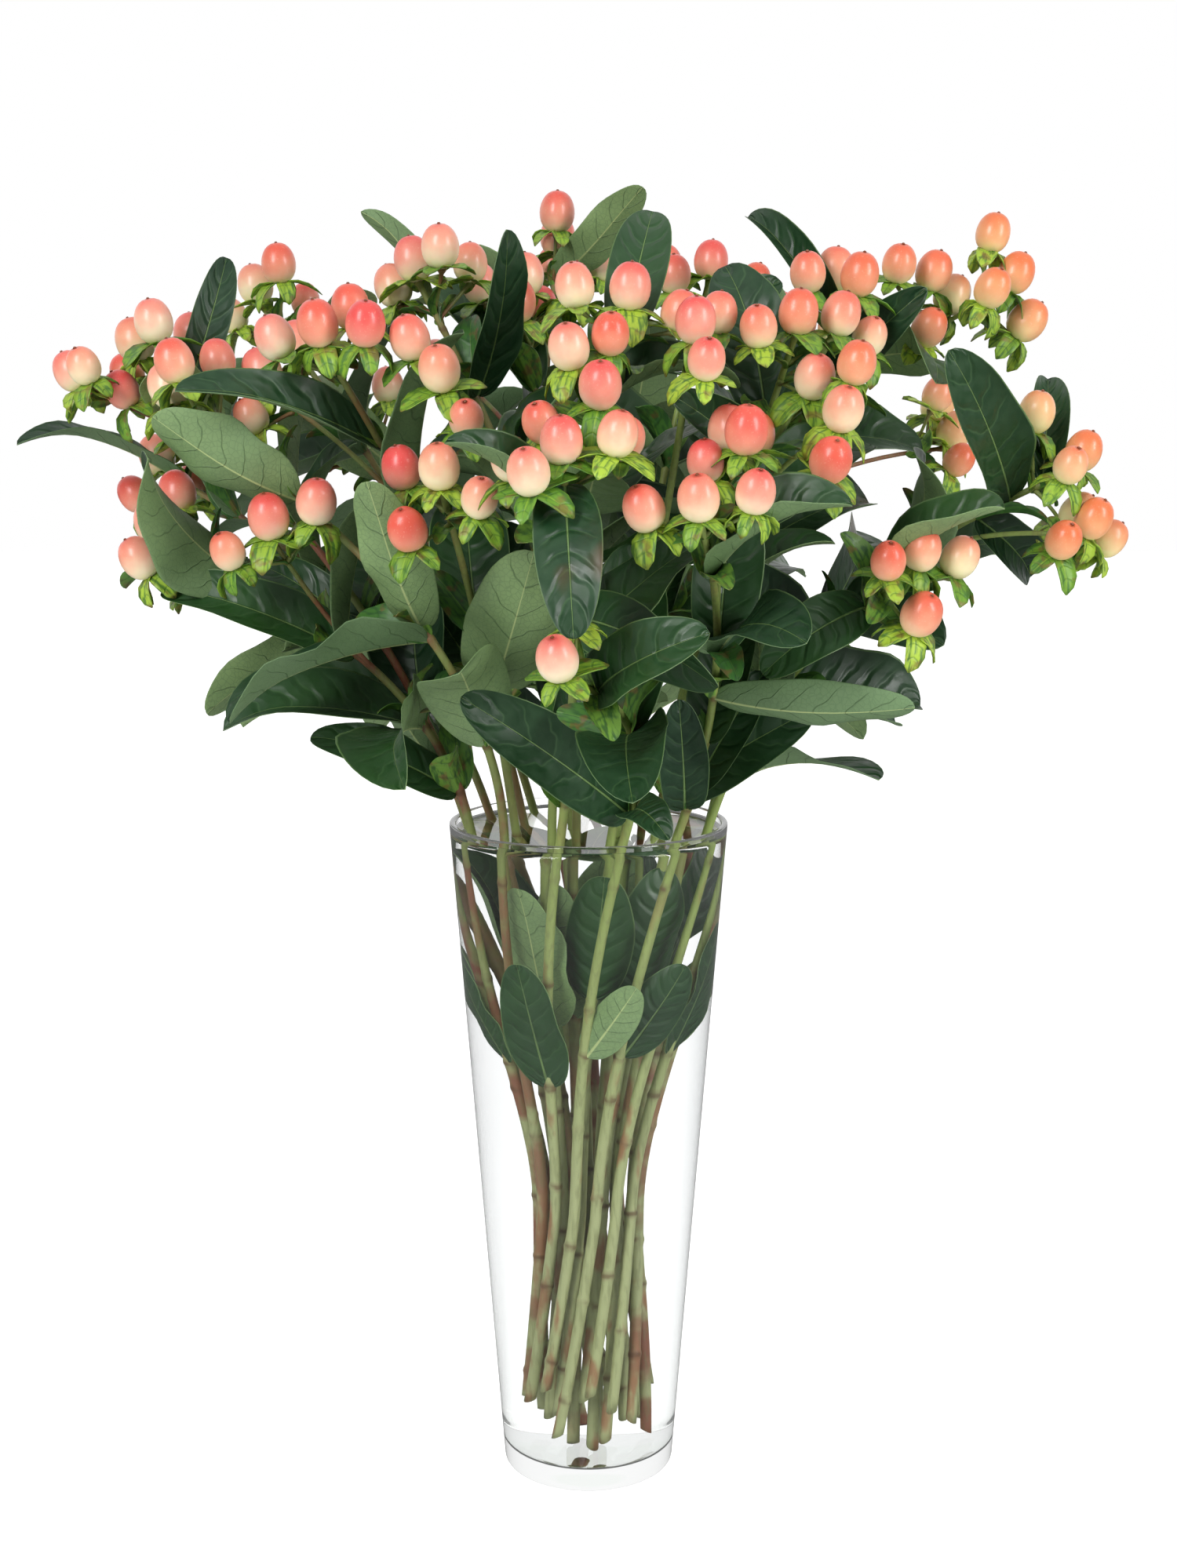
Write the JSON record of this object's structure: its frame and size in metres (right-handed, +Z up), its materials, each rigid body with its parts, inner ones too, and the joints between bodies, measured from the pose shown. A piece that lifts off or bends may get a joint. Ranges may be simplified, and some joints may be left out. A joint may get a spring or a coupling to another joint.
{
  "type": "hypericum berry stems in a vase",
  "caption": "Bunch of cut hypericum (St John's wort) stems with coral berries and dark leaves, standing in a tapered clear glass vase of water.",
  "frame": {"origin": "centre of the flat underside of the vase, where it meets the table", "axes": "+Z up the vase's axis; -Y is the front of the bunch; +X to its right seen from the front"},
  "size_m": [0.4395, 0.3441, 0.542],
  "materials": {
    "glass": "clear polished glass, almost colourless, faint grey at the edges",
    "water": "clear still water",
    "foliage": "smooth green shoots turning brown with age, satin",
    "leaf": "dark bluish green above, pale grey-green and finely netted beneath, satin",
    "sepal": "bright yellow-green, satin",
    "berry": "glossy coral pink fading to cream at the calyx"
  },
  "bodies": {
    "root": {"vase": "glass", "water": "water", "leafy_stem_A": "foliage", "leafy_stem_B": "foliage", "leafy_stem_C": "foliage", "leafy_stem_D": "foliage", "leafy_stem_E": "foliage", "leafy_stem_F": "foliage", "leafy_stem_G": "foliage", "leafy_stem_H": "foliage", "leafy_stem_I": "foliage", "leafy_stem_J": "foliage", "leafy_stem_K": "foliage", "leafy_stem_L": "foliage", "leafy_stem_M": "foliage", "leafy_stem_N": "foliage", "leafy_stem_O": "foliage", "leafy_stem_P": "foliage", "leafy_stem_Q": "foliage", "leafy_stem_R": "foliage", "leafy_stem_S": "foliage", "leafy_stem_T": "foliage", "leafy_stem_U": "foliage", "leafy_stem_V": "foliage", "leafy_stem_W": "foliage", "leafy_stem_Y": "foliage"}
  },
  "joints": []
}
